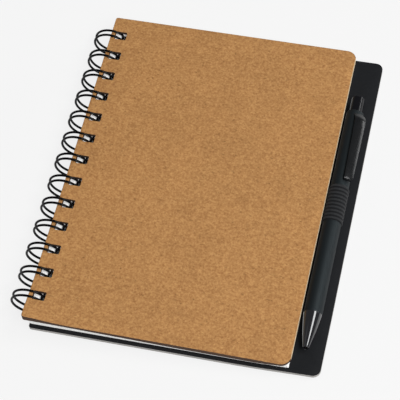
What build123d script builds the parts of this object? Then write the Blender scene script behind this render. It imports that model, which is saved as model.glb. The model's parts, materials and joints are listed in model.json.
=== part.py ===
"""Wire-bound notebook with a kraft front cover, a wider black back cover and a click pen in an elastic loop.

The notebook lies on a table.  It rests on the undersides of its binding rings and on the fore-edge
of its back cover, so the whole book leans a few degrees towards the fore-edge.

Frame, in millimetres: +X from the spine to the fore-edge, +Y up the page, +Z up, with the origin on
the table, under the middle of the object.  The binding rings share one axis, parallel to Y, and the
book's own planes are set out from that axis:
    u  runs across the book from the ring axis to the fore-edge,
    w  runs at right angles to the back cover.
"""

from build123d import *
import math
import os

os.makedirs("parts", exist_ok=True)

# ---------------------------------------------------------------- driving dimensions
# covers
cover_width = 125.0            # front cover, spine edge to fore-edge
cover_height = 176.0           # both covers, head to tail
front_thickness = 1.75         # kraft board
back_thickness = 2.0           # greyboard lined with black paper
front_corner_radius = 4.8      # rounded corners at the front cover's fore-edge
back_corner_radius = 3.6       # and at the back cover's
spine_corner_radius = 1.2      # corners at the binding edge

# page block
page_thickness = 5.3
page_inset = 3.3               # page width below cover width
page_margin = 2.0              # page edge inside the cover at head and tail
page_slant = 2.0               # how far the top sheet has slid towards the spine
page_gap = 0.1                 # between the page block and each cover

# twin-loop wire binding
pitch = 12.7                   # from one pair of loops to the next
ring_rise = 1.15               # wire centre at the top of a ring, above the front cover
wire_diameter = 1.1
loop_spread = 2.9              # between the two wires of a pair
end_margin = 10.5              # least distance from a pair's centre to the end of the cover
head_shift = 0.7               # the row of pairs sits this much nearer the head than the tail
bend_radius = 0.9              # of the corners at the closed tips and at the links
ring_above_back = 1.2          # ring axis above the back cover's inner face
link_clearance = 0.12          # between the links and the top page
cover_clearance = 0.23         # between the links and the front cover

# punched holes
hole_edge = 2.2                # board between a cover's spine edge and a hole
hole_length = 5.8              # across the book
hole_side_clearance = 0.3      # between a pair of wires and each side of its holes
hole_corner = 0.6
page_hole_edge = 4.5           # paper between the pages' spine edge and a hole
page_hole_length = 3.6
back_slide = 0.7               # how far the back cover has slid on the rings, towards the spine

# elastic pen loop
loop_width = 19.8              # along the pen
loop_y = -1.2                  # its middle, from the middle of the book
elastic_thickness = 0.5
loop_clearance = 0.05          # between the elastic and the barrel
loop_foot = 6.0                # width of the part that is glued down
pen_gap = 0.3                  # between the front cover's fore-edge and the loop
fore_margin = 3.4              # back cover left past the loop

# pen, measured along its axis from the end of its nose
pen_radius = 4.35
pen_tip_y = -76.7
nose_length = 17.2
barrel_split = 76.0            # where the two halves of the barrel meet
barrel_end = 129.0
button_end = 138.0
barrel_rim_radius = 0.5
button_edge_radius = 0.5
button_stroke = 5.0

# pen fits
thread_clearance = 0.05
running_clearance = 0.06
nose_tip_radius = 1.5
nose_mouth_radius = 1.24
nose_shoulder = 8.5            # inner step that the spring stands on
nose_bore_radius = 2.4         # round the spring
nose_bore_length = 3.0
nose_bulge = 0.25              # of the nose's outline past a straight cone
spigot_length = 6.0            # of the nose, inside the lower barrel
spigot_wall = 0.7
barrel_wall = 0.9
upper_wall = 0.8               # of the upper barrel, round the button
coupling_length = 8.0          # of the upper barrel, inside the lower barrel
coupling_wall = 0.7
barrel_lip = 1.6               # thickness of the ring that keeps the button in
lip_wall = 1.09                # of the upper barrel, round the button's bore
button_wall = 0.8
collar_height = 3.0            # collar under the lip
collar_end_gap = 0.1           # between the collar and the lip
cam_top = 116.0                # where the cam meets the button
cam_length = 11.0
cam_radius = 2.3
cam_rib = 0.9
cam_rib_count = 4
cam_rib_length = 3.0
cam_guide_length = 4.0         # of the peg inside the button

# refill
refill_radius = 1.6
refill_wall = 0.4
refill_start = 16.0            # where the tube begins
refill_tip_radius = 1.1
tip_recess = 1.0               # the point, inside the nose, with the button out
tip_spigot = 3.0               # tail of the point, inside the tube
tip_flange = 1.2
tip_cone_length = 3.5
ball_radius = 0.35
ear_station = 24.5             # crimped ears that the spring pushes on
ear_length = 1.5
ear_reach = 2.4

# spring
spring_radius = 2.05           # to the centre of its wire
spring_wire = 0.4
spring_turns = 9
spring_seat_gap = 0.05

# clip
clip_angle = 35.0              # from straight up, towards the fore-edge
clip_start = 88.0              # free end
clip_shoulder = 122.5          # where the straight arm begins to turn down to the barrel
clip_root = 126.0
clip_end = 127.2
clip_height = 2.35             # outer face above the barrel
clip_thickness = 1.2
clip_width = 5.6
clip_end_width = 4.4
clip_tab_width = 3.0
clip_tab_length = 3.0
clip_tab_gap = 0.05
clip_foot_gap = 0.05           # between the clip and the barrel
clip_bump_length = 5.0         # of the swelling under the free end
clip_edge_radius = 0.4

# ---------------------------------------------------------------- places worked out from them
wire_radius = wire_diameter / 2
hole_width = loop_spread + wire_diameter + 2 * hole_side_clearance

# levels above the ring axis, at right angles to the back cover
back_top = -ring_above_back
back_bottom = back_top - back_thickness
page_bottom = back_top + page_gap
page_top = page_bottom + page_thickness
link_level = page_top + link_clearance + wire_radius
front_bottom = link_level + wire_radius + cover_clearance
front_top = front_bottom + front_thickness
ring_radius = front_top + ring_rise


def ring_reach(level):
    """Distance u at which the rings pass a level."""
    return math.sqrt(ring_radius**2 - level**2)


# distances from the ring axis across the book; a hole is centred on the wire that passes it,
# except in the back cover, which has slid along inside its holes
hole_centre = hole_edge + hole_length / 2
page_hole_centre = page_hole_edge + page_hole_length / 2
front_spine = ring_reach((front_bottom + front_top) / 2) - hole_centre
back_spine = ring_reach((back_bottom + back_top) / 2) - hole_centre - back_slide
page_spine = ring_reach((page_bottom + page_top) / 2) - page_hole_centre
page_width = cover_width - page_inset
page_height = cover_height - 2 * page_margin
front_fore = front_spine + cover_width
loop_outer_radius = pen_radius + loop_clearance + elastic_thickness
pen_u = front_fore + pen_gap + loop_outer_radius
pen_w = back_top + loop_outer_radius
back_fore = pen_u + loop_outer_radius + fore_margin
back_width = back_fore - back_spine

# pairs of loops along the spine
pair_count = int((cover_height - 2 * (end_margin + head_shift)) // pitch) + 1
pair_places = [(i - (pair_count - 1) / 2) * pitch + head_shift for i in range(pair_count)]

# lean of the book: the rings and the back cover's lower fore-edge both touch the table
ring_outer = ring_radius + wire_radius
fore_distance = math.hypot(back_fore, back_bottom)
lean = math.asin(ring_outer / fore_distance) - math.atan2(-back_bottom, back_fore)

# the front cover rests on the links at the spine and on the page block at its fore-edge
page_fore_top = page_spine + page_width - page_slant / 2
cover_drop = math.asin((front_bottom - page_top - page_gap) / page_fore_top)

# ring axis in the object's frame, with the origin midway between the rings and the fore-edge
reach_left = -ring_outer
reach_right = back_fore * math.cos(lean) + back_top * math.sin(lean)
axis_x = -(reach_left + reach_right) / 2
axis_z = ring_outer


def leaning_plane(angle):
    """Plane through the ring axis that falls towards the fore-edge by an angle in radians."""
    across = (math.cos(angle), 0, -math.sin(angle))
    upward = (math.sin(angle), 0, math.cos(angle))
    return Plane(origin=(axis_x, 0, axis_z), x_dir=across, z_dir=upward)


book_plane = leaning_plane(lean)
front_plane = leaning_plane(lean + cover_drop)


def section_plane(y):
    """Plane across the book at a height up the page, with u to the right and w up."""
    origin = book_plane.from_local_coords((0, y, 0))
    return Plane(origin=origin, x_dir=book_plane.x_dir, z_dir=-book_plane.y_dir)


def finish(piece, name):
    """Label a finished piece and write it to its own file."""
    piece.part.label = name
    export_step(piece.part, f"parts/{name}.step")


# ---------------------------------------------------------------- covers
def cover_outline(spine, fore, corner_radius):
    """Lines of a cover, square to the spine, with large radii at the fore-edge only."""
    half = cover_height / 2
    with BuildLine() as outline:
        Polyline((spine, -half), (fore, -half), (fore, half), (spine, half), close=True)
        corners = outline.vertices()
        fillet(corners.group_by(Axis.X)[-1], corner_radius)
        fillet(outline.vertices().filter_by(lambda v: abs(v.X - spine) < hole_corner), spine_corner_radius)
    return outline.line


def build_cover(plane, bottom, thickness, spine, fore, corner_radius):
    """A flat board with one punched hole for each pair of loops."""
    with BuildPart() as cover:
        with BuildSketch(plane.offset(bottom)):
            with BuildLine():
                add(cover_outline(spine, fore, corner_radius))
            make_face()
            with Locations(*[(spine + hole_centre, y) for y in pair_places]):
                RectangleRounded(hole_length, hole_width, hole_corner, mode=Mode.SUBTRACT)
        extrude(amount=thickness)
    return cover


front_cover = build_cover(
    front_plane, front_bottom, front_thickness, front_spine, front_fore, front_corner_radius
)
finish(front_cover, "front_cover")

back_cover = build_cover(
    book_plane, back_bottom, back_thickness, back_spine, back_fore, back_corner_radius
)
finish(back_cover, "back_cover")


# ---------------------------------------------------------------- page block
def slanted_outline(left, width, overshoot):
    """Corners of a slanted upright strip of the page block, which may run past both faces."""
    lean_over = page_slant / page_thickness
    middle = (page_bottom + page_top) / 2
    low = page_bottom - overshoot
    high = page_top + overshoot
    low_shift = (middle - low) * lean_over
    high_shift = (middle - high) * lean_over
    return [
        (left + low_shift, low),
        (left + width + low_shift, low),
        (left + width + high_shift, high),
        (left + high_shift, high),
    ]


with BuildPart() as page_block:
    with BuildSketch(section_plane(0)):
        with BuildLine():
            Polyline(*slanted_outline(page_spine, page_width, 0), close=True)
        make_face()
    extrude(amount=page_height / 2, both=True)
    for place in pair_places:
        with BuildSketch(section_plane(place)):
            with BuildLine():
                hole_start = page_spine + page_hole_edge
                Polyline(*slanted_outline(hole_start, page_hole_length, 1.0), close=True)
            make_face()
        extrude(amount=hole_width / 2, both=True, mode=Mode.SUBTRACT)
finish(page_block, "page_block")

# ---------------------------------------------------------------- binding wire
# One wire makes the whole binding.  From a link it runs clockwise round to the closed tip of its
# pair, which lies in the front cover's hole, crosses over, runs back beside itself and goes on
# along the next link.
corner_swing = math.degrees(math.atan2(bend_radius, ring_radius))
link_angle = math.degrees(math.asin(link_level / math.hypot(ring_radius, bend_radius)))
start_angle = link_angle - corner_swing
tip_angle = math.degrees(math.asin((front_bottom + front_top) / 2 / ring_radius))
tip_start_angle = tip_angle + corner_swing - 360


def ring_point(y, angle, past=0.0):
    """Point on a ring, or a distance past it along the ring's clockwise direction."""
    a = math.radians(angle)
    across = ring_radius * math.cos(a) + past * math.sin(a)
    up = ring_radius * math.sin(a) - past * math.cos(a)
    return book_plane.from_local_coords((across, y, up))


def ring_run(y, first_angle, last_angle):
    """Most of a circle, from one angle to another, as two arcs."""
    middle = (first_angle + last_angle) / 2
    for a, b in ((first_angle, middle), (middle, last_angle)):
        ThreePointArc(ring_point(y, a), ring_point(y, (a + b) / 2), ring_point(y, b))


def crossing(y_from, y_to, angle, past):
    """Straight bar along the spine with a rounded corner at each end."""
    leaving = (ring_point(0, angle, past) - ring_point(0, angle)).normalized()
    bar_start = ring_point(y_from + bend_radius, angle, past)
    bar_end = ring_point(y_to - bend_radius, angle, past)
    TangentArc(ring_point(y_from, angle), bar_start, tangent=leaving)
    Line(bar_start, bar_end)
    TangentArc(bar_end, ring_point(y_to, angle), tangent=(0, 1, 0))


with BuildPart() as binding_wire:
    with BuildLine() as route:
        for i, place in enumerate(pair_places):
            near = place - loop_spread / 2
            far = place + loop_spread / 2
            ring_run(near, start_angle, tip_start_angle)
            crossing(near, far, tip_start_angle, bend_radius)
            ring_run(far, tip_start_angle, start_angle)
            if i + 1 < pair_count:
                crossing(far, near + pitch, start_angle, -bend_radius)
    with BuildSketch(Plane(origin=route.line @ 0, z_dir=route.line % 0)):
        Circle(wire_radius)
    sweep(path=route.line)
finish(binding_wire, "binding_wire")
wire_length = sum(edge.length for edge in route.edges())
wire_section = math.pi * wire_radius**2
volume_ratio = binding_wire.part.volume / (wire_section * wire_length)
print(f"binding wire: {wire_length:.1f} mm long, volume over section times length {volume_ratio:.4f}")

# ---------------------------------------------------------------- elastic loop
with BuildPart() as elastic_loop:
    with BuildSketch(section_plane(loop_y)):
        with Locations((pen_u, pen_w)):
            Circle(loop_outer_radius)
        with Locations((pen_u, back_top)):
            Rectangle(loop_foot, elastic_thickness, align=(Align.CENTER, Align.MIN))
        with Locations((pen_u, pen_w)):
            Circle(pen_radius + loop_clearance, mode=Mode.SUBTRACT)
    extrude(amount=loop_width / 2, both=True)
finish(elastic_loop, "elastic_loop")

# ---------------------------------------------------------------- pen
# Each turned piece is half a section, with its radius across and its station along the pen,
# revolved about the pen's axis.
pen_direction = Vector(0, 1, 0)
pen_origin = book_plane.from_local_coords((pen_u, pen_tip_y, pen_w))
clip_tilt = math.radians(clip_angle)
clip_direction = book_plane.x_dir * math.sin(clip_tilt) + book_plane.z_dir * math.cos(clip_tilt)
pen_section = Plane(origin=pen_origin, x_dir=clip_direction, z_dir=clip_direction.cross(pen_direction))
pen_axis = Axis(pen_origin, pen_direction)


def pen_station(station):
    """Plane square to the pen's axis, with its X towards the clip."""
    origin = pen_section.from_local_coords((0, station, 0))
    return Plane(origin=origin, x_dir=clip_direction, z_dir=pen_direction)


def half_section(*points):
    """Flat profile beside the pen's axis from its (radius, station) corners."""
    with BuildSketch(pen_section) as profile:
        with BuildLine():
            Polyline(*points, close=True)
        make_face()
    return profile.sketch


barrel_bore = pen_radius - barrel_wall
spigot_radius = barrel_bore - thread_clearance
button_bore = pen_radius - lip_wall
button_radius = button_bore - running_clearance
upper_bore = pen_radius - upper_wall
collar_radius = upper_bore - running_clearance
lip_start = barrel_end - barrel_lip
collar_top = lip_start - collar_end_gap

# nose cone, open at the point, with a spigot that screws into the lower barrel
nose_inner = spigot_radius - spigot_wall
nose_middle = ((nose_tip_radius + pen_radius) / 2 + nose_bulge, nose_length / 2)
with BuildPart() as pen_nose_cone:
    with BuildSketch(pen_section):
        with BuildLine():
            ThreePointArc((nose_tip_radius, 0), nose_middle, (pen_radius, nose_length))
            Polyline(
                (pen_radius, nose_length),
                (spigot_radius, nose_length),
                (spigot_radius, nose_length + spigot_length),
                (nose_inner, nose_length + spigot_length),
                (nose_inner, nose_shoulder + nose_bore_length),
                (nose_bore_radius, nose_shoulder + nose_bore_length),
                (nose_bore_radius, nose_shoulder),
                (nose_mouth_radius, nose_shoulder),
                (nose_mouth_radius, 0),
                (nose_tip_radius, 0),
            )
        make_face()
    revolve(axis=pen_axis)
finish(pen_nose_cone, "pen_nose_cone")

# lower barrel, a plain tube
with BuildPart() as pen_lower_barrel:
    profile = half_section(
        (barrel_bore, nose_length),
        (pen_radius, nose_length),
        (pen_radius, barrel_split),
        (barrel_bore, barrel_split),
    )
    revolve(profile, axis=pen_axis)
finish(pen_lower_barrel, "pen_lower_barrel")

# upper barrel, with a spigot below, a lip round the button above and a slot for the clip
coupling_bore = spigot_radius - coupling_wall
with BuildPart() as pen_upper_barrel:
    profile = half_section(
        (coupling_bore, barrel_split - coupling_length),
        (spigot_radius, barrel_split - coupling_length),
        (spigot_radius, barrel_split),
        (pen_radius, barrel_split),
        (pen_radius, barrel_end),
        (button_bore, barrel_end),
        (button_bore, lip_start),
        (upper_bore, lip_start),
        (upper_bore, barrel_split + coupling_wall),
        (coupling_bore, barrel_split + coupling_wall),
    )
    revolve(profile, axis=pen_axis)
    rim = pen_upper_barrel.edges().filter_by(GeomType.CIRCLE).sort_by(pen_axis)[-1]
    fillet(rim, barrel_rim_radius)
    with BuildSketch(pen_section):
        with Locations((button_radius, clip_root)):
            Rectangle(pen_radius, clip_tab_length, align=(Align.MIN, Align.MAX))
    extrude(amount=clip_tab_width / 2 + clip_tab_gap, both=True, mode=Mode.SUBTRACT)
finish(pen_upper_barrel, "pen_upper_barrel")

# clip, a sprung arm whose root turns down into the slot and whose free end bears on the barrel
clip_outer = pen_radius + clip_height
clip_inner = clip_outer - clip_thickness
clip_foot = pen_radius + clip_foot_gap
tab_bottom = upper_bore + clip_tab_gap
tab_top = clip_root - clip_tab_gap
tab_start = clip_root - clip_tab_length + clip_tab_gap
with BuildPart() as pen_clip:
    with BuildSketch(pen_section):
        with BuildLine():
            Polyline(
                (clip_outer, clip_start),
                (clip_outer, clip_shoulder),
                (clip_foot + clip_thickness / 2, clip_end),
                (clip_foot, clip_end),
                (clip_foot, tab_start),
                (clip_inner, clip_shoulder - clip_tab_length),
                (clip_inner, clip_start + clip_bump_length),
                (clip_foot, clip_start + clip_bump_length / 2),
                (clip_inner, clip_start),
                close=True,
            )
        make_face()
    extrude(amount=clip_width / 2, both=True)
    with BuildSketch(Plane(origin=pen_origin, x_dir=pen_section.z_dir, z_dir=clip_direction)):
        with BuildLine():
            Polyline(
                (-clip_end_width / 2, -clip_start),
                (clip_end_width / 2, -clip_start),
                (clip_width / 2, -clip_shoulder),
                (clip_width / 2, -clip_end),
                (-clip_width / 2, -clip_end),
                (-clip_width / 2, -clip_shoulder),
                close=True,
            )
        make_face()
    extrude(amount=2 * clip_outer, mode=Mode.INTERSECT)
    long_edges = pen_clip.edges().filter_by(pen_axis, tolerance=3).group_by(Axis(pen_origin, clip_direction))
    fillet(long_edges[-1], clip_edge_radius)
    with BuildSketch(pen_section):
        with Locations((tab_bottom, tab_top)):
            Rectangle(clip_foot - tab_bottom, tab_top - tab_start, align=(Align.MIN, Align.MAX))
    extrude(amount=clip_tab_width / 2, both=True)
finish(pen_clip, "pen_clip")

# push button, a cup with its closed end up and a collar that the lip stops
collar_start = collar_top - collar_height
with BuildPart() as pen_push_button:
    profile = half_section(
        (0, button_end),
        (button_radius, button_end),
        (button_radius, collar_top),
        (collar_radius, collar_top),
        (collar_radius, collar_start),
        (button_radius, collar_start),
        (button_radius, cam_top),
        (button_radius - button_wall, cam_top),
        (button_radius - button_wall, button_end - 2 * button_wall),
        (0, button_end - 2 * button_wall),
    )
    revolve(profile, axis=pen_axis)
    crown = pen_push_button.edges().filter_by(GeomType.CIRCLE).sort_by(pen_axis)[-1]
    fillet(crown, button_edge_radius)
finish(pen_push_button, "pen_push_button")

# turning cam between the button and the refill, with ribs that run in the barrel
cam_bottom = cam_top - cam_length
cam_guide = button_radius - button_wall - running_clearance
with BuildPart() as pen_cam:
    profile = half_section(
        (0, cam_bottom),
        (cam_radius, cam_bottom),
        (cam_radius, cam_top - cam_rib_length),
        (button_radius, cam_top - cam_rib_length),
        (button_radius, cam_top),
        (cam_guide, cam_top),
        (cam_guide, cam_top + cam_guide_length),
        (0, cam_top + cam_guide_length + cam_guide),
    )
    revolve(profile, axis=pen_axis)
    with BuildSketch(pen_station(cam_bottom + cam_rib)):
        with PolarLocations(cam_radius, cam_rib_count):
            Rectangle(2 * (button_radius - cam_radius), cam_rib)
    extrude(amount=cam_length - cam_rib_length - cam_rib)
finish(pen_cam, "pen_cam")

# refill: an ink tube with crimped ears, and a metal point pressed into its end
refill_end = cam_bottom
tube_bore = refill_radius - refill_wall
with BuildPart() as pen_refill_tube:
    profile = half_section(
        (tube_bore, refill_start),
        (refill_radius, refill_start),
        (refill_radius, refill_end),
        (tube_bore, refill_end),
    )
    revolve(profile, axis=pen_axis)
    with BuildSketch(pen_station(ear_station)):
        Rectangle(2 * ear_reach, refill_radius)
        Circle(refill_radius - refill_wall / 2, mode=Mode.SUBTRACT)
    extrude(amount=ear_length)
finish(pen_refill_tube, "pen_refill_tube")

with BuildPart() as pen_refill_tip:
    profile = half_section(
        (0, tip_recess),
        (ball_radius, tip_recess + ball_radius),
        (refill_tip_radius, tip_recess + tip_cone_length),
        (refill_tip_radius, refill_start - tip_flange),
        (refill_radius, refill_start - tip_flange),
        (refill_radius, refill_start),
        (tube_bore, refill_start),
        (tube_bore, refill_start + tip_spigot),
        (0, refill_start + tip_spigot),
    )
    revolve(profile, axis=pen_axis)
finish(pen_refill_tip, "pen_refill_tip")

# return spring, from the step in the nose up to the ears of the refill
spring_bottom = nose_shoulder + spring_seat_gap + spring_wire / 2
spring_top = ear_station - spring_seat_gap - spring_wire / 2
spring_height = spring_top - spring_bottom
with BuildPart() as pen_spring:
    with BuildLine() as coil:
        Helix(
            pitch=spring_height / spring_turns,
            height=spring_height,
            radius=spring_radius,
            center=pen_section.from_local_coords((0, spring_bottom, 0)),
            direction=pen_direction,
        )
    with BuildSketch(Plane(origin=coil.line @ 0, z_dir=coil.line % 0)):
        Circle(spring_wire / 2)
    sweep(path=coil.line, is_frenet=True)
finish(pen_spring, "pen_spring")

print(f"lean {math.degrees(lean):.3f} deg, front cover drop {math.degrees(cover_drop):.3f} deg")
print(f"ring axis x {axis_x:.3f}, z {axis_z:.3f}; spine edges {front_spine:.3f}, {back_spine:.3f}")
print(f"back cover width {back_width:.2f}, pen axis u {pen_u:.2f}, w {pen_w:.2f}")
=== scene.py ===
"""Looks of the wire-bound notebook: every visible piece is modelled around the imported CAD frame.

Lengths are in metres.  The covers, the pages and the wire are modelled in the book's own
coordinates: u across from the ring axis, v up the page and w at right angles to the board.  The
pen's pieces are turned about its own axis, with stations measured from the end of its nose.
"""

import json
import math
import random

import bmesh
import bpy
from mathutils import Matrix, Vector


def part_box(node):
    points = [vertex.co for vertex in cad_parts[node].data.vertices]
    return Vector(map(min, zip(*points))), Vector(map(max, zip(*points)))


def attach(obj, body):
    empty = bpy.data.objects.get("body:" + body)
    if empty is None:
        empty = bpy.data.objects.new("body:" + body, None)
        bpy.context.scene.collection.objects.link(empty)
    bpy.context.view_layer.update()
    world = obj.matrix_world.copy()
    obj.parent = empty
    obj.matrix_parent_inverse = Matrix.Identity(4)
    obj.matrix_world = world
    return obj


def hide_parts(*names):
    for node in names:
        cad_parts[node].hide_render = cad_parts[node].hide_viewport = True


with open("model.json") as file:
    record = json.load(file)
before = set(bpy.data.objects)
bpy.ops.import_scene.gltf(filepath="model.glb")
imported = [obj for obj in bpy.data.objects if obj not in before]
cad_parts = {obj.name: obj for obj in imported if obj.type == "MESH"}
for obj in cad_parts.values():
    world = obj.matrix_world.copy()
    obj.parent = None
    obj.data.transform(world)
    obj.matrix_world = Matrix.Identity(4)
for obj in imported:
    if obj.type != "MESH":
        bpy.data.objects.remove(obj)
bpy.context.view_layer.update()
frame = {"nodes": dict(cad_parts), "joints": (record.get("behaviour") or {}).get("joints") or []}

MM = 0.001

# ---------------------------------------------------------------- sizes that the frame's boxes don't give
pitch = 12.7 * MM
hole_edge = 2.2 * MM
hole_length = 5.8 * MM
hole_width = 4.6 * MM
hole_corner = 0.6 * MM
page_hole_edge = 4.5 * MM
page_hole_length = 3.6 * MM
front_corner = 4.8 * MM
back_corner = 3.6 * MM
spine_corner = 1.2 * MM
wire_radius = 0.55 * MM
loop_spread = 2.9 * MM
bend_radius = 0.9 * MM
link_clearance = 0.12 * MM
page_slant = 2.0 * MM
clip_angle = math.radians(35.0)

# ---------------------------------------------------------------- places read from the frame
hinge = next(j for j in frame["joints"] if j["name"] == "front_cover_hinge")
ring_axis = Vector(hinge["pos_m"])
ring_radius = ring_axis.z - wire_radius  # the rings stand on the table


def leaning_matrix(node):
    """Frame of a flat node, with its origin on the ring axis and Z at right angles to its upper face."""
    normal = Vector((0, 0, 0))
    for face in frame["nodes"][node].data.polygons:
        if face.normal.z > 0.9:
            normal += face.normal * face.area
    angle = math.atan2(normal.x, normal.z)
    return Matrix.Translation(ring_axis) @ Matrix.Rotation(angle, 4, "Y")


def local_box(node, matrix):
    """Lowest and highest corner of a node in another frame."""
    inverse = matrix.inverted()
    points = [inverse @ vertex.co for vertex in frame["nodes"][node].data.vertices]
    low = Vector([min(p[i] for p in points) for i in range(3)])
    high = Vector([max(p[i] for p in points) for i in range(3)])
    return low, high


book = leaning_matrix("back_cover")
front = leaning_matrix("front_cover")
front_low, front_high = local_box("front_cover", front)
back_low, back_high = local_box("back_cover", book)
page_low, page_high = local_box("page_block", book)

wire_low, wire_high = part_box("binding_wire")
first_pair = wire_low.y + wire_radius + loop_spread / 2
pair_count = round((wire_high.y - wire_low.y - 2 * wire_radius - loop_spread) / pitch) + 1
pair_places = [first_pair + i * pitch for i in range(pair_count)]

barrel_low, barrel_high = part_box("pen_lower_barrel")
nose_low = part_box("pen_nose_cone")[0]
pen_centre = (barrel_low + barrel_high) / 2
pen_tip = Vector((pen_centre.x, nose_low.y, pen_centre.z))
pen_radius = (barrel_high.x - barrel_low.x) / 2


# ---------------------------------------------------------------- number helpers
def part_way(value, start, end):
    """How far a value has come from start to end, kept between 0 and 1."""
    return min(1.0, max(0.0, (value - start) / (end - start)))


def eased(t):
    """Smooth step from 0 to 1."""
    return t * t * (3 - 2 * t)


def shade(colour, factor):
    return [channel * factor for channel in colour]


def grey(value):
    return (value, value, value)


# ---------------------------------------------------------------- mesh helpers
def make_object(name, bm, matrix=None, sharp=35.0):
    """Turn a bmesh into a smooth-shaded object whose edges are sharp past an angle in degrees."""
    bmesh.ops.recalc_face_normals(bm, faces=bm.faces)
    mesh = bpy.data.meshes.new(name)
    bm.to_mesh(mesh)
    bm.free()
    mesh.shade_smooth()
    mesh.set_sharp_from_angle(angle=math.radians(sharp))
    obj = bpy.data.objects.new(name, mesh)
    bpy.context.scene.collection.objects.link(obj)
    if matrix is not None:
        obj.matrix_world = matrix
    return obj


def rounded_loop(low, high, radii, inset, steps=8):
    """Counter-clockwise points of a rectangle with rounded corners, moved inwards by an inset."""
    corners = [
        (low[0], low[1], 1, 1, math.pi),
        (high[0], low[1], -1, 1, -math.pi / 2),
        (high[0], high[1], -1, -1, 0.0),
        (low[0], high[1], 1, -1, math.pi / 2),
    ]
    points = []
    for (x, y, along_x, along_y, start), radius in zip(corners, radii):
        cx = x + along_x * radius
        cy = y + along_y * radius
        for k in range(steps + 1):
            a = start + math.pi / 2 * k / steps
            points.append((cx + (radius - inset) * math.cos(a), cy + (radius - inset) * math.sin(a)))
    return points


def bridge(bm, first, second, material=0):
    """Quads between two closed rows of vertices."""
    count = len(first)
    for k in range(count):
        n = (k + 1) % count
        face = bm.faces.new((first[k], first[n], second[n], second[k]))
        face.material_index = material


def fill_cap(bm, loops):
    """Fill the flat area between an outer row of vertices and the rows of its holes."""
    edges = []
    for row in loops:
        for k, vertex in enumerate(row):
            edges.append(bm.edges.get((vertex, row[(k + 1) % len(row)])))
    bmesh.ops.triangle_fill(bm, use_beauty=True, edges=edges)


def all_geometry(bm):
    return bm.verts[:] + bm.edges[:] + bm.faces[:]


def board_mesh(outline, radii, holes, profile, spacing):
    """Board with punched holes.

    The profile lists (level, inset, material of the wall above) up the edge; a hole opens by
    the same inset.  The board is cut into a grid so that it can be warped.
    """
    bm = bmesh.new()
    rows = []
    for level, inset, _ in profile:
        loops = [rounded_loop(*outline, radii, inset)]
        loops += [rounded_loop(*hole, [hole_corner] * 4, -inset, steps=3) for hole in holes]
        rows.append([[bm.verts.new((x, y, level)) for x, y in loop] for loop in loops])
    for lower, upper, (_, _, material) in zip(rows, rows[1:], profile):
        for low_loop, high_loop in zip(lower, upper):
            bridge(bm, low_loop, high_loop, material)
    fill_cap(bm, rows[0])
    fill_cap(bm, rows[-1])
    (x0, y0), (x1, y1) = outline
    for axis, low, high in ((0, x0, x1), (1, y0, y1)):
        cuts = int((high - low) / spacing)
        for k in range(1, cuts):
            place = Vector((0, 0, 0))
            direction = Vector((0, 0, 0))
            place[axis] = low + (high - low) * k / cuts
            direction[axis] = 1
            bmesh.ops.bisect_plane(bm, geom=all_geometry(bm), plane_co=place, plane_no=direction)
    return bm


def punched_holes(left, length):
    """Opposite corners of each hole in a row that starts at a distance u."""
    return [((left, y - hole_width / 2), (left + length, y + hole_width / 2)) for y in pair_places]


def lipped_profile(low, high, lip, material):
    """Square edge of a board with softly crushed lips."""
    steps = 3
    rising = []
    for k in range(steps + 1):
        a = math.pi / 2 * k / steps
        rising.append((low + lip * (1 - math.cos(a)), lip * (1 - math.sin(a)), material))
    falling = [(low + high - level, inset, material) for level, inset, _ in reversed(rising)]
    return rising + falling


def tube(bm, path, radius):
    """Round bar along a row of points, closed at both ends."""
    sides = 14
    tangents = []
    for k in range(len(path)):
        before = path[max(k - 1, 0)]
        after = path[min(k + 1, len(path) - 1)]
        tangents.append((after - before).normalized())
    across = tangents[0].orthogonal().normalized()
    rows = []
    for point, tangent in zip(path, tangents):
        across = (across - tangent * across.dot(tangent)).normalized()
        upward = tangent.cross(across)
        row = []
        for k in range(sides):
            a = 2 * math.pi * k / sides
            row.append(bm.verts.new(point + (across * math.cos(a) + upward * math.sin(a)) * radius))
        rows.append(row)
    for first, second in zip(rows, rows[1:]):
        bridge(bm, first, second)
    bm.faces.new(rows[0])
    bm.faces.new(rows[-1])


def rounded_corners(points, radius):
    """A closed outline with each corner replaced by an arc, smaller where its sides are short."""
    steps = 5
    reach_share = 0.45
    tiny = 1e-7
    nearly_straight = 0.02
    result = []
    count = len(points)
    for k in range(count):
        here = Vector(points[k])
        before = Vector(points[k - 1]) - here
        after = Vector(points[(k + 1) % count]) - here
        turn = before.angle(after)
        shorter = min(before.length, after.length)
        reach = min(radius / math.tan(turn / 2), shorter * reach_share)
        if here.x < tiny or reach < tiny or math.pi - turn < nearly_straight:
            result.append(here)
            continue
        start = here + before.normalized() * reach
        end = here + after.normalized() * reach
        for n in range(steps + 1):
            t = n / steps
            result.append(start * (1 - t) ** 2 + here * 2 * t * (1 - t) + end * t**2)
    return result


def lathe(bm, outline):
    """Solid of revolution about the Y axis of a closed outline of (radius, height) points."""
    segments = 96
    tiny = 1e-7
    rows = []
    for radius, height in outline:
        if radius < tiny:
            rows.append([bm.verts.new((0, height, 0))])
            continue
        row = []
        for k in range(segments):
            a = 2 * math.pi * k / segments
            row.append(bm.verts.new((radius * math.cos(a), height, radius * math.sin(a))))
        rows.append(row)
    for first, second in zip(rows, rows[1:] + rows[:1]):
        if len(first) == 1 and len(second) == 1:
            continue
        if len(first) == 1 or len(second) == 1:
            ring = second if len(first) == 1 else first
            centre = first[0] if len(first) == 1 else second[0]
            for k in range(segments):
                bm.faces.new((centre, ring[k], ring[(k + 1) % segments]))
            continue
        bridge(bm, first, second)


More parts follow.
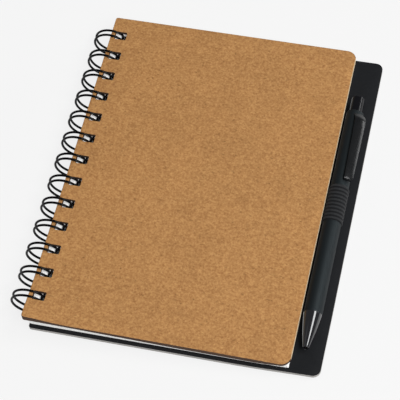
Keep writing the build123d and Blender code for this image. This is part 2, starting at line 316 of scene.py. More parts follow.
# ---------------------------------------------------------------- material helpers
def new_material(name):
    """Empty node material: returns it with its node maker, its linker and its surface shader."""
    material = bpy.data.materials.new(name)
    material.use_nodes = True
    tree = material.node_tree
    tree.nodes.clear()
    output = tree.nodes.new("ShaderNodeOutputMaterial")
    shader = tree.nodes.new("ShaderNodeBsdfPrincipled")
    tree.links.new(shader.outputs[0], output.inputs[0])

    def node(kind, **values):
        made = tree.nodes.new("ShaderNode" + kind)
        for key, value in values.items():
            if key in made.inputs:
                made.inputs[key].default_value = value
            else:
                setattr(made, key, value)
        return made

    return material, node, tree.links.new, shader


def object_noise(node, link, scale, detail, roughness=0.6, stretch=(1, 1, 1), turn=0.0):
    """Noise fixed to the object; the scale is in features to the metre."""
    coordinates = node("TexCoord")
    mapping = node("Mapping")
    mapping.inputs["Scale"].default_value = stretch
    mapping.inputs["Rotation"].default_value = (0, 0, turn)
    link(coordinates.outputs["Object"], mapping.inputs["Vector"])
    texture = node("TexNoise", Scale=scale, Detail=detail, Roughness=roughness)
    link(mapping.outputs[0], texture.inputs["Vector"])
    return texture.outputs["Fac"]


def ramp(node, link, source, stops):
    """Colour ramp over a value; stops are (position, colour)."""
    made = node("ValToRGB")
    elements = made.color_ramp.elements
    elements[0].position, elements[0].color = stops[0][0], (*stops[0][1], 1)
    elements[1].position, elements[1].color = stops[-1][0], (*stops[-1][1], 1)
    for position, colour in stops[1:-1]:
        element = elements.new(position)
        element.color = (*colour, 1)
    link(source, made.inputs[0])
    return made.outputs["Color"]


def mix(node, link, blend, amount, first, second):
    """Blend two colours; the amount is a number or a socket."""
    made = node("Mix", data_type="RGBA", blend_type=blend)
    for value, socket in ((amount, made.inputs[0]), (first, made.inputs[6]), (second, made.inputs[7])):
        if isinstance(value, bpy.types.NodeSocket):
            link(value, socket)
        else:
            socket.default_value = value if isinstance(value, float) else (*value, 1)
    return made.outputs[2]


def bump(node, link, shader, layers):
    """Chain of bumps; layers are (height socket, strength, distance in metres)."""
    normal = None
    for height, strength, distance in layers:
        made = node("Bump", Strength=strength, Distance=distance)
        link(height, made.inputs["Height"])
        if normal is not None:
            link(normal, made.inputs["Normal"])
        normal = made.outputs["Normal"]
    link(normal, shader.inputs["Normal"])


def kraft_material(name):
    """Brown kraft paper: cloudy pulp with fine grain, short fibres, and dark and pale flecks."""
    material, node, link, shader = new_material(name)
    base = (0.375, 0.1875, 0.066)
    cloud = object_noise(node, link, 60, 6, 0.75)
    grain = object_noise(node, link, 1000, 4, 0.62)
    fibre = object_noise(node, link, 480, 4, 0.6, stretch=(1, 2.2, 1), turn=0.9)
    dark_fleck = object_noise(node, link, 620, 2, 0.5, stretch=(1, 1.5, 1), turn=0.2)
    pale_fleck = object_noise(node, link, 760, 2, 0.5, stretch=(1.4, 1, 1), turn=0.7)
    colour = ramp(node, link, cloud, [(0.35, shade(base, 0.945)), (0.65, shade(base, 1.055))])
    grains = ramp(node, link, grain, [(0.3, grey(0.2)), (0.7, grey(0.8))])
    colour = mix(node, link, "SOFT_LIGHT", 0.7, colour, grains)
    strands = ramp(node, link, fibre, [(0.34, grey(0.38)), (0.66, grey(0.62))])
    colour = mix(node, link, "SOFT_LIGHT", 0.6, colour, strands)
    dark = ramp(node, link, dark_fleck, [(0.25, grey(0.62)), (0.36, grey(1.0))])
    colour = mix(node, link, "MULTIPLY", 0.9, colour, dark)
    pale = ramp(node, link, pale_fleck, [(0.64, grey(0.0)), (0.78, grey(0.5))])
    colour = mix(node, link, "MIX", pale, colour, (0.55, 0.30, 0.13))
    link(colour, shader.inputs["Base Color"])
    rough = ramp(node, link, grain, [(0.3, grey(0.76)), (0.7, grey(0.92))])
    link(rough, shader.inputs["Roughness"])
    shader.inputs["Specular IOR Level"].default_value = 0.2
    bump(node, link, shader, [(grain, 0.3, 0.00005), (fibre, 0.2, 0.00006), (cloud, 0.12, 0.0004)])
    return material


def cut_board_material(name, base, layer_pitch):
    """Cut edge of a board: pressed layers of pulp seen edge on, torn a little by the punch."""
    material, node, link, shader = new_material(name)
    layers = object_noise(node, link, 1 / layer_pitch, 3, 0.7, stretch=(0.06, 0.06, 1))
    torn = object_noise(node, link, 1400, 4, 0.7)
    colour = ramp(node, link, layers, [(0.3, shade(base, 0.72)), (0.7, shade(base, 1.22))])
    grit = ramp(node, link, torn, [(0.3, grey(0.36)), (0.7, grey(0.62))])
    colour = mix(node, link, "SOFT_LIGHT", 0.8, colour, grit)
    link(colour, shader.inputs["Base Color"])
    shader.inputs["Roughness"].default_value = 0.92
    shader.inputs["Specular IOR Level"].default_value = 0.15
    bump(node, link, shader, [(layers, 0.5, 0.00012), (torn, 0.4, 0.00008)])
    return material


def black_lining_material():
    """Black paper glued over board: nearly matt, with a fine tooth and scattered dust-grey fibres."""
    material, node, link, shader = new_material("black_lining")
    cloud = object_noise(node, link, 60, 4)
    tooth = object_noise(node, link, 1700, 5, 0.7)
    fibre = object_noise(node, link, 420, 4, 0.6, stretch=(1, 5, 1), turn=0.4)
    colour = ramp(node, link, cloud, [(0.3, (0.0082, 0.0088, 0.0101)), (0.7, (0.0104, 0.0112, 0.0127))])
    dust = ramp(node, link, fibre, [(0.6, grey(0.0)), (0.78, grey(1.0))])
    colour = mix(node, link, "MIX", dust, colour, (0.017, 0.018, 0.019))
    link(colour, shader.inputs["Base Color"])
    rough = ramp(node, link, tooth, [(0.3, grey(0.52)), (0.7, grey(0.7))])
    link(rough, shader.inputs["Roughness"])
    shader.inputs["Specular IOR Level"].default_value = 0.1
    bump(node, link, shader, [(tooth, 0.3, 0.00004), (fibre, 0.2, 0.00006)])
    return material


def paper_material(name, dark, light, painted_glow):
    """Writing paper, very faintly mottled; the painted glow is painted light, an even emission that lifts
    the sheets most visibly where they lie in shade.
    """
    material, node, link, shader = new_material(name)
    mottle = object_noise(node, link, 700, 4)
    colour = ramp(node, link, mottle, [(0.3, dark), (0.7, light)])
    link(colour, shader.inputs["Base Color"])
    shader.inputs["Emission Color"].default_value = (1, 1, 1, 1)
    shader.inputs["Emission Strength"].default_value = painted_glow
    shader.inputs["Roughness"].default_value = 0.85
    shader.inputs["Specular IOR Level"].default_value = 0.2
    bump(node, link, shader, [(mottle, 0.2, 0.00003)])
    return material


def wire_material():
    """Nylon-coated wire: glossy black with a slight orange peel."""
    material, node, link, shader = new_material("coated_wire")
    peel = object_noise(node, link, 900, 3)
    colour = ramp(node, link, peel, [(0.3, (0.0008, 0.0008, 0.0011)), (0.7, (0.0016, 0.0016, 0.002))])
    link(colour, shader.inputs["Base Color"])
    rough = ramp(node, link, peel, [(0.3, grey(0.2)), (0.7, grey(0.3))])
    link(rough, shader.inputs["Roughness"])
    shader.inputs["Specular IOR Level"].default_value = 0.1
    bump(node, link, shader, [(peel, 0.12, 0.00004)])
    return material


def elastic_material(name, dark, light):
    """Knitted elastic: matt black yarn with fine courses across each rib."""
    material, node, link, shader = new_material(name)
    coordinates = node("TexCoord")
    yarn = node("TexWave", Scale=330.0, Distortion=1.5, Detail=2.0, bands_direction="Y")
    link(coordinates.outputs["Object"], yarn.inputs["Vector"])
    fuzz = object_noise(node, link, 2600, 4, 0.7)
    colour = ramp(node, link, fuzz, [(0.3, dark), (0.7, light)])
    link(colour, shader.inputs["Base Color"])
    shader.inputs["Roughness"].default_value = 0.82
    shader.inputs["Specular IOR Level"].default_value = 0.15
    shader.inputs["Sheen Weight"].default_value = 0.05
    shader.inputs["Sheen Roughness"].default_value = 0.5
    bump(node, link, shader, [(yarn.outputs["Fac"], 0.35, 0.00008), (fuzz, 0.4, 0.00006)])
    return material


def plastic_material(
    name, dark, light, roughness, tooth_scale, tooth, specular=0.5, tint=(1, 1, 1), coat=0.0
):
    """Moulded plastic; the tooth is the strength of its fine surface texture."""
    material, node, link, shader = new_material(name)
    cloud = object_noise(node, link, 90, 4)
    grain = object_noise(node, link, tooth_scale, 3)
    colour = ramp(node, link, cloud, [(0.3, dark), (0.7, light)])
    link(colour, shader.inputs["Base Color"])
    rough = ramp(node, link, grain, [(0.3, grey(roughness * 0.88)), (0.7, grey(roughness * 1.12))])
    link(rough, shader.inputs["Roughness"])
    shader.inputs["Specular IOR Level"].default_value = specular
    shader.inputs["Specular Tint"].default_value = (*tint, 1)
    shader.inputs["Coat Weight"].default_value = coat
    shader.inputs["Coat Roughness"].default_value = 0.06
    bump(node, link, shader, [(grain, tooth, 0.00003)])
    return material


def metal_material(name, dark, light, roughness, scale):
    """Turned or drawn metal with fine marks round it."""
    material, node, link, shader = new_material(name)
    marks = object_noise(node, link, scale, 3, stretch=(1, 12, 1))
    colour = ramp(node, link, marks, [(0.3, dark), (0.7, light)])
    link(colour, shader.inputs["Base Color"])
    shader.inputs["Metallic"].default_value = 1.0
    rough = ramp(node, link, marks, [(0.3, grey(roughness * 0.8)), (0.7, grey(roughness * 1.2))])
    link(rough, shader.inputs["Roughness"])
    bump(node, link, shader, [(marks, 0.1, 0.00002)])
    return material


# ---------------------------------------------------------------- finishes
kraft = kraft_material("kraft_board")
# Cut edge of the kraft board painted dark brown: painted shade on the faces turned away from the key
# light; the cut board itself is paler.
kraft_painted_shade = cut_board_material("kraft_dark_edge_painted_shade", (0.075, 0.044, 0.03), 0.00025)
# Pale copy of the same cut edge: a painted highlight where the fore-edge faces the key light.
kraft_painted_highlight = cut_board_material("kraft_pale_edge_painted_highlight", (0.52, 0.42, 0.29), 0.00025)
lining = black_lining_material()
grey_board = cut_board_material("grey_board_edge", (0.38, 0.365, 0.35), 0.0003)
# The sheets' glow is painted light that lifts the paper, most visibly where it lies in shade.
paper = paper_material("page_paper", (0.59, 0.59, 0.578), (0.64, 0.64, 0.632), 0.25)
# Near-black paper on the walls of the page holes: painted shade standing in for the dark of the deep
# holes.
hole_paper_painted_shade = paper_material("page_holes_painted_shade", (0.012, 0.012, 0.012), (0.02, 0.02, 0.019), 0.0)
coated = wire_material()
knit = elastic_material("knitted_ridges", (0.013, 0.0138, 0.0152), (0.026, 0.027, 0.0285))
# Darker copy of the ridge yarn for the grooves and the band's inside: painted shade.
knit_painted_shade = elastic_material("knitted_groove_painted_shade", (0.0035, 0.0038, 0.0045), (0.006, 0.0065, 0.0075))
soft_touch = plastic_material(
    "soft_touch", (0.0018, 0.0027, 0.0034), (0.0028, 0.004, 0.005),
    roughness=0.58, tooth_scale=5000, tooth=0.12, specular=0.37, tint=(0.8, 0.95, 1.0),
)
gloss = plastic_material(
    "gloss_black", (0.003, 0.003, 0.0045), (0.005, 0.005, 0.007),
    roughness=0.1, tooth_scale=2500, tooth=0.03, coat=1.0,
)
satin = plastic_material(
    "satin_black", (0.004, 0.0045, 0.005), (0.0065, 0.007, 0.0078),
    roughness=0.25, tooth_scale=3500, tooth=0.05, specular=0.26,
)
button_black = plastic_material(
    "button_black", (0.003, 0.003, 0.0042), (0.005, 0.005, 0.0065),
    roughness=0.2, tooth_scale=2500, tooth=0.03, specular=0.16,
)
natural = plastic_material(
    "natural_plastic", (0.62, 0.62, 0.58), (0.72, 0.72, 0.68),
    roughness=0.4, tooth_scale=3000, tooth=0.08,
)
ink_tube = plastic_material(
    "ink_tube", (0.02, 0.03, 0.12), (0.03, 0.045, 0.17),
    roughness=0.25, tooth_scale=3000, tooth=0.04,
)
brass = metal_material("turned_brass", (0.62, 0.42, 0.17), (0.78, 0.57, 0.27), 0.25, 500)
steel = metal_material("drawn_steel", (0.42, 0.42, 0.43), (0.6, 0.6, 0.61), 0.28, 700)


def place_piece(obj, body, node, slot, *materials):
    """Give a finished piece its materials and its body, and hide the CAD node that it stands for."""
    for material in materials:
        obj.data.materials.append(material)
    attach(obj, body)
    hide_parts(node)
    return obj


# ---------------------------------------------------------------- front cover
def build_front_cover():
    """Kraft board with crushed lips; its cut edges are painted dark as shade and its outer fore-edge pale
    as a painted highlight.

    At the spine's lower corner the layers have parted and the top one has sprung up; along the
    middle of the tail edge the underside is frayed downwards.
    """
    lip = 0.24 * MM
    corner_lift = 2.0 * MM
    lift_reach = 21 * MM
    fray = 1.1 * MM
    fray_depth = 1.4 * MM
    fray_start = 25 * MM
    fray_full = 75 * MM
    fray_fading = 112 * MM
    fray_end = front_high.x - 6 * MM
    grid = 5 * MM
    # Material slots: kraft face, cut edge in painted shade, outer fore-edge in painted highlight.
    board, cut_edge, lit_edge_painted_highlight = 0, 1, 2
    outline = ((front_low.x, front_low.y), (front_high.x, front_high.y))
    radii = [spine_corner, front_corner, front_corner, spine_corner]
    profile = lipped_profile(front_low.z, front_high.z, lip, cut_edge)
    holes = punched_holes(front_low.x + hole_edge, hole_length)
    bm = board_mesh(outline, radii, holes, profile, grid)
    for vertex in bm.verts:
        away = math.hypot(vertex.co.x - front_low.x, vertex.co.y - front_low.y)
        share = (vertex.co.z - front_low.z) / (front_high.z - front_low.z)
        inward = vertex.co.y - front_low.y
        vertex.co.z += corner_lift * eased(part_way(away, lift_reach, 0)) * share
        if share < 0.5 and inward < fray_depth:
            rise = part_way(vertex.co.x, fray_start, fray_full)
            fall = part_way(vertex.co.x, fray_end, fray_fading)
            vertex.co.z -= fray * rise * fall * (1 - inward / fray_depth)
    # The outermost fore-edge faces take the painted highlight; the other upright cut faces keep the
    # painted shade.
    for face in bm.faces:
        outermost = min(v.co.x for v in face.verts) > front_high.x - lip * 1.01
        if face.material_index == cut_edge and outermost:
            face.material_index = lit_edge_painted_highlight
        elif face.material_index == cut_edge and abs(face.normal.z) > 0.8:
            face.material_index = board
    obj = make_object("kraft_front_cover", bm, front)
    return place_piece(obj, "front_cover", "front_cover", "kraft_board", kraft, kraft_painted_shade, kraft_painted_highlight)


# ---------------------------------------------------------------- back cover
def build_back_cover():
    """Grey board between two black linings, wider than the front; one corner has curled up a little."""
    corner_lift = 1.5 * MM
    lift_reach = 36 * MM
    lining_thickness = 0.14 * MM
    lip = 0.12 * MM
    recess = 0.04 * MM
    grid = 6 * MM
    outline = ((back_low.x, back_low.y), (back_high.x, back_high.y))
    radii = [spine_corner, back_corner, back_corner, spine_corner]
    low, high = back_low.z, back_high.z
    paper_skin, board = 0, 1  # materials: the glued lining and the board's cut edge
    profile = [
        (low, lip, paper_skin),
        (low + lip * 0.3, lip * 0.3, paper_skin),
        (low + lip, 0.0, paper_skin),
        (low + lining_thickness, 0.0, board),
        (low + lining_thickness, recess, board),
        (high - lining_thickness, recess, board),
        (high - lining_thickness, 0.0, paper_skin),
        (high - lip, 0.0, paper_skin),
        (high - lip * 0.3, lip * 0.3, paper_skin),
        (high, lip, paper_skin),
    ]
    holes = punched_holes(back_low.x + hole_edge, hole_length)
    bm = board_mesh(outline, radii, holes, profile, grid)
    for vertex in bm.verts:
        away = math.hypot(vertex.co.x - back_high.x, vertex.co.y - back_low.y)
        vertex.co.z += corner_lift * eased(part_way(away, lift_reach, 0))
    obj = make_object("black_back_cover", bm, book)
    return place_piece(obj, "back_cover", "back_cover", "black_board", lining, grey_board)


# ---------------------------------------------------------------- pages
def build_pages():
    """A stack of separate sheets, each a little out of line with the next.

    Near the spine the upper sheets fan up, round the rings, until they touch the front cover.
    """
    sheet_count = 53
    jitter = 0.07 * MM
    sheet_share = 0.93
    fan_height = 1.3 * MM
    fan_full = 4.3 * MM
    fan_end = 6.5 * MM
    fan_cuts = 5
    sheet, hole_wall = 0, 1
    rng = random.Random(7)
    bm = bmesh.new()
    step = (page_high.z - page_low.z) / sheet_count
    hole_left = page_low.x + page_hole_edge
    right_of_holes = hole_left + page_hole_length
    for n in range(sheet_count):
        low = page_low.z + n * step
        high = low + step * sheet_share
        shift = page_slant * (1 - (n + 0.5) / sheet_count) + rng.uniform(-jitter, jitter)
        slide = rng.uniform(-jitter, jitter)
        left = page_low.x + shift
        right = page_high.x - page_slant + shift
        bottom = page_low.y + jitter + slide
        top = page_high.y - jitter + slide
        loops = [[(left, bottom), (right, bottom), (right, top), (left, top)]]
        for (hx0, hy0), (hx1, hy1) in punched_holes(hole_left, right_of_holes + shift - hole_left):
            loops.append([(hx0, hy0), (hx1, hy0), (hx1, hy1), (hx0, hy1)])
        rows = [[[bm.verts.new((x, y, z)) for x, y in loop] for loop in loops] for z in (low, high)]
        # The outer wall is sheet edge; the hole walls get the near-black painted shade.
        for k, (low_loop, high_loop) in enumerate(zip(*rows)):
            bridge(bm, low_loop, high_loop, sheet if k == 0 else hole_wall)
        fill_cap(bm, rows[0])
        fill_cap(bm, rows[1])
    for k in range(fan_cuts + 1):
        place = Vector((fan_full + (fan_end - fan_full) * k / fan_cuts, 0, 0))
        bmesh.ops.bisect_plane(bm, geom=all_geometry(bm), plane_co=place, plane_no=(1, 0, 0))
    for vertex in bm.verts:
        share = (vertex.co.z - page_low.z) / (page_high.z - page_low.z)
        vertex.co.z += fan_height * share**3 * eased(part_way(vertex.co.x, fan_end, fan_full))
    obj = make_object("page_sheets", bm, book)
    return place_piece(obj, "text_block", "page_block", "paper", paper, hole_paper_painted_shade)


# ---------------------------------------------------------------- binding wire
def build_wire():
    """One wire: round to each closed tip, back beside itself and on along the link.

    Angles are measured about the ring axis, from the direction of the pages.  A loop leaves its
    link just above the top page and ends, tucked in a little, at the middle of the front cover.
    """
    coat_radius = 0.59 * MM
    tuck = math.radians(9.0)
    link_level = page_high.z + link_clearance + wire_radius
    cover_level = (front_low.z + front_high.z) / 2
    swing = math.atan2(bend_radius, ring_radius)
    start = math.asin(link_level / math.hypot(ring_radius, bend_radius)) - swing
    finish = math.asin(cover_level / ring_radius) + swing - tuck - 2 * math.pi
    ring_steps = 72
    bend_steps = 6

    def on_ring(y, angle, past=0.0):
        across = ring_radius * math.cos(angle) + past * math.sin(angle)
        up = ring_radius * math.sin(angle) - past * math.cos(angle)
        return Vector((across, y, up))

    def ring_run(y, first, last):
        return [on_ring(y, first + (last - first) * k / ring_steps) for k in range(ring_steps + 1)]

    def crossing(y_from, y_to, angle, past):
        """Bar along the spine: a quarter turn out of one loop and a quarter turn into the next."""
        points = []
        for k in range(1, bend_steps + 1):
            a = math.pi / 2 * k / bend_steps
            y = y_from + bend_radius * (1 - math.cos(a))
            points.append(on_ring(y, angle, past * math.sin(a)))
        for k in range(bend_steps):
            a = math.pi / 2 * k / bend_steps
            y = y_to - bend_radius * (1 - math.sin(a))
            points.append(on_ring(y, angle, past * math.cos(a)))
        return points

    path = []
    for i, middle in enumerate(pair_places):
        near = middle - loop_spread / 2
        far = middle + loop_spread / 2
        path += ring_run(near, start, finish)
        path += crossing(near, far, finish, bend_radius)
        path += ring_run(far, finish, start)
        if i + 1 < pair_count:
            path += crossing(far, near + pitch, start, -bend_radius)
    bm = bmesh.new()
    tube(bm, path, coat_radius)
    obj = make_object("twin_loop_wire", bm, book, sharp=60)
    return place_piece(obj, "text_block", "binding_wire", "coated_wire", coated)


# ---------------------------------------------------------------- elastic loop
def build_elastic():
    """Ribbed band round the pen, glued to the back cover along a flat foot."""
    low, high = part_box("elastic_loop")
    width = high.y - low.y
    inner = pen_radius + 0.05 * MM
    thickness = 0.5 * MM
    rib_count = 10
    rib_height = 0.26 * MM
    ridge_from = 0.75
    thin_share = 0.55
    steps_per_rib = 12
    rounded_steps = 4
    columns = rib_count * steps_per_rib
    rows_around = 96
    outer_lift = 0.01 * MM
    inner_lift = 0.02 * MM
    ridge_yarn, groove_painted_shade = 0, 1
    floor_level = back_high.z
    centre = book.inverted() @ pen_centre
    bm = bmesh.new()
    outer_rows = []
    inner_rows = []
    for c in range(columns + 1):
        t = c / columns
        y = low.y + width * t
        wave = abs(math.sin(math.pi * rib_count * t))
        end_round = min(1.0, min(t, 1 - t) * columns / rounded_steps)
        wall = thickness * (thin_share + (1 - thin_share) * end_round)
        outer = []
        inside = []
        for k in range(rows_around):
            a = 2 * math.pi * k / rows_around
            radius = inner + wall - rib_height * (1 - wave * wave)
            x = centre.x + radius * math.cos(a)
            z = max(centre.z + radius * math.sin(a), floor_level + outer_lift)
            outer.append(bm.verts.new((x, y, z)))
            x = centre.x + inner * math.cos(a)
            z = max(centre.z + inner * math.sin(a), floor_level + inner_lift)
            inside.append(bm.verts.new((x, y, z)))
        outer_rows.append(outer)
        inner_rows.append(inside)
    # Grooves, and the inside of the band, take the darker yarn as painted shade; the ridges keep the
    # yarn's own black.
    for c in range(columns):
        ridge = abs(math.sin(math.pi * rib_count * (c + 0.5) / columns)) > ridge_from
        bridge(bm, outer_rows[c], outer_rows[c + 1], ridge_yarn if ridge else groove_painted_shade)
        bridge(bm, inner_rows[c], inner_rows[c + 1], groove_painted_shade)
    bridge(bm, outer_rows[0], inner_rows[0])
    bridge(bm, outer_rows[-1], inner_rows[-1])
    foot_half = 3.0 * MM
    foot_half_top = foot_half * 0.8
    foot_top = floor_level + 0.45 * MM
    foot = [
        (-foot_half, floor_level),
        (foot_half, floor_level),
        (foot_half_top, foot_top),
        (-foot_half_top, foot_top),
    ]
    ends = [[bm.verts.new((centre.x + x, y, z)) for x, z in foot] for y in (low.y, high.y)]
    bridge(bm, *ends)
    bm.faces.new(ends[0])
    bm.faces.new(ends[1])
    obj = make_object("ribbed_elastic_loop", bm, book, sharp=70)
    return place_piece(obj, "back_cover", "elastic_loop", "elastic", knit, knit_painted_shade)


# ---------------------------------------------------------------- pen
# Y runs up the pen from its tip, and X points out of the barrel towards the clip.
lean = math.atan2(-book[2][0], book[0][0])
clip_turn = Matrix.Rotation(math.pi / 2 - clip_angle - lean, 4, "Y").inverted()
pen_frame = Matrix.Translation(pen_tip) @ clip_turn


def station(node, end):
    """How far up the pen a node begins (end 0) or stops (end 1)."""
    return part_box(node)[end].y - pen_tip.y


def turned_piece(name, node, body, slot, material, outline, radius):
    """Piece turned about the pen's axis from the corners of its half section."""
    bm = bmesh.new()
    lathe(bm, rounded_corners(outline, radius))
    obj = make_object(name, bm, pen_frame)
    return place_piece(obj, body, node, slot, material)


def nose_outline(nose_end, spigot_end, spigot):
    """Half section of the nose: a swelling cone with a bore for the refill and a step for the spring."""
    tip_bore = 1.24 * MM
    tip_radius = 1.5 * MM
    spring_bore = 2.4 * MM
    spring_step = 8.5 * MM
    spigot_wall = 0.7 * MM
    wide_from = 11.5 * MM
    bulge = 0.25 * MM
    steps = 14
    outline = [(tip_bore, 0), (tip_radius, 0)]
    for k in range(1, steps):
        t = k / steps
        radius = tip_radius + (pen_radius - tip_radius) * t + bulge * 4 * t * (1 - t)
        outline.append((radius, nose_end * t))
    outline += [
        (pen_radius, nose_end),
        (spigot, nose_end),
        (spigot, spigot_end),
        (spigot - spigot_wall, spigot_end),
        (spigot - spigot_wall, wide_from),
        (spring_bore, wide_from),
        (spring_bore, spring_step),
        (tip_bore, spring_step),
    ]
    return outline


def build_pen():
    """Nose, two barrels and push button, each turned from its half section."""
    nose_end = station("pen_lower_barrel", 0)
    split = station("pen_lower_barrel", 1)
    spigot_end = station("pen_nose_cone", 1)
    coupling_start = station("pen_upper_barrel", 0)
    barrel_end = station("pen_upper_barrel", 1)
    button_start = station("pen_push_button", 0)
    button_end = station("pen_push_button", 1)
    bore = pen_radius - 0.9 * MM
    spigot = bore - 0.05 * MM
    coupling_bore = spigot - 0.7 * MM
    upper_bore = pen_radius - 0.8 * MM
    upper_bore_start = split + 0.7 * MM
    lip_start = barrel_end - 1.6 * MM
    button_radius = pen_radius - 1.15 * MM
    button_bore = button_radius - 0.8 * MM
    button_cap = button_end - 1.6 * MM
    sliding_gap = 0.06 * MM
    collar_radius = upper_bore - sliding_gap
    collar_top = lip_start - 0.1 * MM
    collar_bottom = collar_top - 3 * MM

    nose = nose_outline(nose_end, spigot_end, spigot)
    lower_barrel = [(bore, nose_end), (pen_radius, nose_end), (pen_radius, split), (bore, split)]
    upper_barrel = [
        (coupling_bore, coupling_start),
        (spigot, coupling_start),
        (spigot, split),
        (pen_radius, split),
        (pen_radius, barrel_end),
        (button_radius + sliding_gap, barrel_end),
        (button_radius + sliding_gap, lip_start),
        (upper_bore, lip_start),
        (upper_bore, upper_bore_start),
        (coupling_bore, upper_bore_start),
    ]
    button = [
        (0, button_end),
        (button_radius, button_end),
        (button_radius, collar_top),
        (collar_radius, collar_top),
        (collar_radius, collar_bottom),
        (button_radius, collar_bottom),
        (button_radius, button_start),
        (button_bore, button_start),
        (button_bore, button_cap),
        (0, button_cap),
    ]
    turned_piece("glossy_nose_cone", "pen_nose_cone", "pen", "nose", gloss, nose, 0.12 * MM)
    turned_piece(
        "soft_lower_barrel", "pen_lower_barrel", "pen", "barrel", soft_touch, lower_barrel, 0.25 * MM
    )
    turned_piece(
        "soft_upper_barrel", "pen_upper_barrel", "pen", "barrel", soft_touch, upper_barrel, 0.4 * MM
    )
    turned_piece(
        "glossy_push_button", "pen_push_button", "pen_core", "button", button_black, button, 0.25 * MM
    )


def build_clip():
    """Sprung arm with a crowned outer face, whose root bends down into the barrel."""
    low = station("pen_clip", 0)
    high = station("pen_clip", 1)
    outer = pen_radius + 2.35 * MM
    thickness = 1.2 * MM
    seat = pen_radius * 0.93
    half_end = 2.2 * MM
    half_root = 2.8 * MM
    arm_start = low + 1.2 * MM
    shoulder = high - 4.7 * MM
    crown_radius = 9.0 * MM
    lower_share = 0.92
    bevel = 0.15 * MM
    twist = math.radians(12.0)
    arm_steps = 8
    side_points = 15

    # (station, height of the outer face above the pen's axis, share of the full width)
    path = [
        (low, outer - 0.5 * MM, 0.86),
        (low + 0.4 * MM, outer - 0.1 * MM, 0.95),
        (arm_start, outer, 1.0),
    ]
    for k in range(1, arm_steps + 1):
        path.append((arm_start + (shoulder - arm_start) * k / arm_steps, outer, 1.0))
    path += [
        (shoulder + 1.0 * MM, outer - 0.25 * MM, 1.0),
        (shoulder + 2.4 * MM, outer - 1.0 * MM, 1.0),
        (shoulder + 3.8 * MM, outer - 1.9 * MM, 0.97),
        (high, outer - 2.4 * MM, 0.9),
    ]
    bm = bmesh.new()
    rows = []
    for along, top, share in path:
        t = (along - low) / (shoulder - low)
        half = (half_end + (half_root - half_end) * min(t, 1.0)) * share
        bottom = max(top - thickness, seat)
        section = []
        for k in range(side_points):
            z = half * (-1 + 2 * k / (side_points - 1))
            section.append((-crown_radius + math.sqrt(crown_radius**2 - z * z), z))
        deep = bottom - top
        half_low = half * lower_share
        section += [(deep + bevel, half), (deep, half_low), (deep, -half_low), (deep + bevel, -half)]
        row = []
        for r, z in section:
            turned_r = r * math.cos(twist) - z * math.sin(twist)
            turned_z = r * math.sin(twist) + z * math.cos(twist)
            row.append(bm.verts.new((top + turned_r, along, turned_z)))
        rows.append(row)
    for first, second in zip(rows, rows[1:]):
        bridge(bm, first, second)
    bm.faces.new(rows[0])
    bm.faces.new(rows[-1])
    obj = make_object("satin_clip", bm, pen_frame, sharp=50)
    return place_piece(obj, "pen", "pen_clip", "clip", satin)


# ---------------------------------------------------------------- hidden pieces
def finish_hidden():
    """The pen's inner pieces keep their CAD shape and get their own materials."""
    for node, material in (
        ("pen_cam", natural),
        ("pen_refill_tube", ink_tube),
        ("pen_refill_tip", brass),
        ("pen_spring", steel),
    ):
        for slot in frame["nodes"][node].material_slots:
            slot.material = material


# ---------------------------------------------------------------- stage, light and camera
def build_stage():
    """Pale table, lit from within like a light table, so that shadows stay faint."""
    material, node, link, shader = new_material("pale_floor")
    tone = object_noise(node, link, 2, 2)
    colour = ramp(node, link, tone, [(0.3, grey(0.089)), (0.7, grey(0.092))])
    link(colour, shader.inputs["Base Color"])
    shader.inputs["Roughness"].default_value = 0.9
    shader.inputs["Specular IOR Level"].default_value = 0.0
    shader.inputs["Emission Color"].default_value = (1, 1, 1, 1)
    shader.inputs["Emission Strength"].default_value = 0.822
    half_size = 6.0
    level = -0.2 * MM
    bm = bmesh.new()
    corners = [(-1, -1), (1, -1), (1, 1), (-1, 1)]
    bm.faces.new([bm.verts.new((x * half_size, y * half_size, level)) for x, y in corners])
    floor = make_object("floor", bm)
    floor.data.materials.append(material)


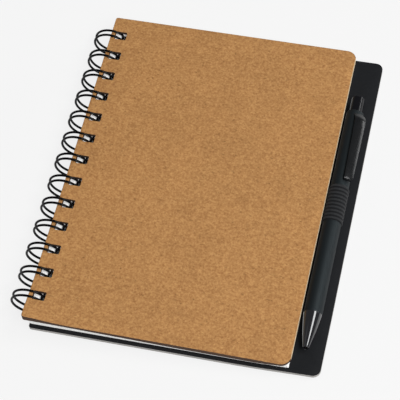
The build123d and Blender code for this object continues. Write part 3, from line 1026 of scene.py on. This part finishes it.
def area_light(name, power, size, azimuth, elevation, distance):
    """Soft light aimed at the origin; angles in degrees, azimuth 0 on the -Y side."""
    data = bpy.data.lights.new(name, "AREA")
    data.energy = power
    data.shape = "RECTANGLE"
    data.size, data.size_y = size
    az, el = math.radians(azimuth), math.radians(elevation)
    direction = Vector((math.sin(az) * math.cos(el), -math.cos(az) * math.cos(el), math.sin(el)))
    light = bpy.data.objects.new(name, data)
    light.location = direction * distance
    light.rotation_euler = direction.to_track_quat("Z", "Y").to_euler()
    bpy.context.scene.collection.objects.link(light)


def build_lights():
    """Soft key from the front right, a side light for the pen's sheen, a low rim and a faint fill."""
    world = bpy.data.worlds.new("studio")
    world.use_nodes = True
    background = world.node_tree.nodes["Background"]
    background.inputs["Color"].default_value = (1.0, 1.0, 1.0, 1)
    background.inputs["Strength"].default_value = 0.2
    bpy.context.scene.world = world
    area_light("key", 19.2, (0.7, 0.7), 48, 52, 1.6)
    area_light("side", 5.6, (0.5, 0.42), 101, 55, 1.2)
    area_light("rim", 2.5, (0.5, 0.2), 128, 14, 1.2)
    area_light("fill", 0.6, (0.9, 0.9), 290, 50, 1.4)
    bpy.context.scene.view_settings.view_transform = "Standard"


def build_camera():
    """Camera of the picture: azimuth 0 looks along +Y, and the roll turns the frame about its axis."""
    azimuth = math.radians(23.053)
    elevation = math.radians(57.439)
    roll = math.radians(12.021)
    distance = 0.75513
    target = Vector((-0.00071, -0.0035, 0.0))
    away = Vector((
        math.sin(azimuth) * math.cos(elevation),
        -math.cos(azimuth) * math.cos(elevation),
        math.sin(elevation),
    ))
    data = bpy.data.cameras.new("camera")
    data.sensor_width = 36.0
    data.lens = 140.16
    data.clip_start = 0.01
    camera = bpy.data.objects.new("camera", data)
    bpy.context.scene.collection.objects.link(camera)
    facing = away.to_track_quat("Z", "Y").to_matrix().to_4x4()
    place = Matrix.Translation(target + away * distance)
    camera.matrix_world = place @ facing @ Matrix.Rotation(-roll, 4, "Z")
    bpy.context.scene.camera = camera


build_camera()
build_lights()
build_stage()
build_front_cover()
build_back_cover()
build_pages()
build_wire()
build_elastic()
build_pen()
build_clip()
finish_hidden()
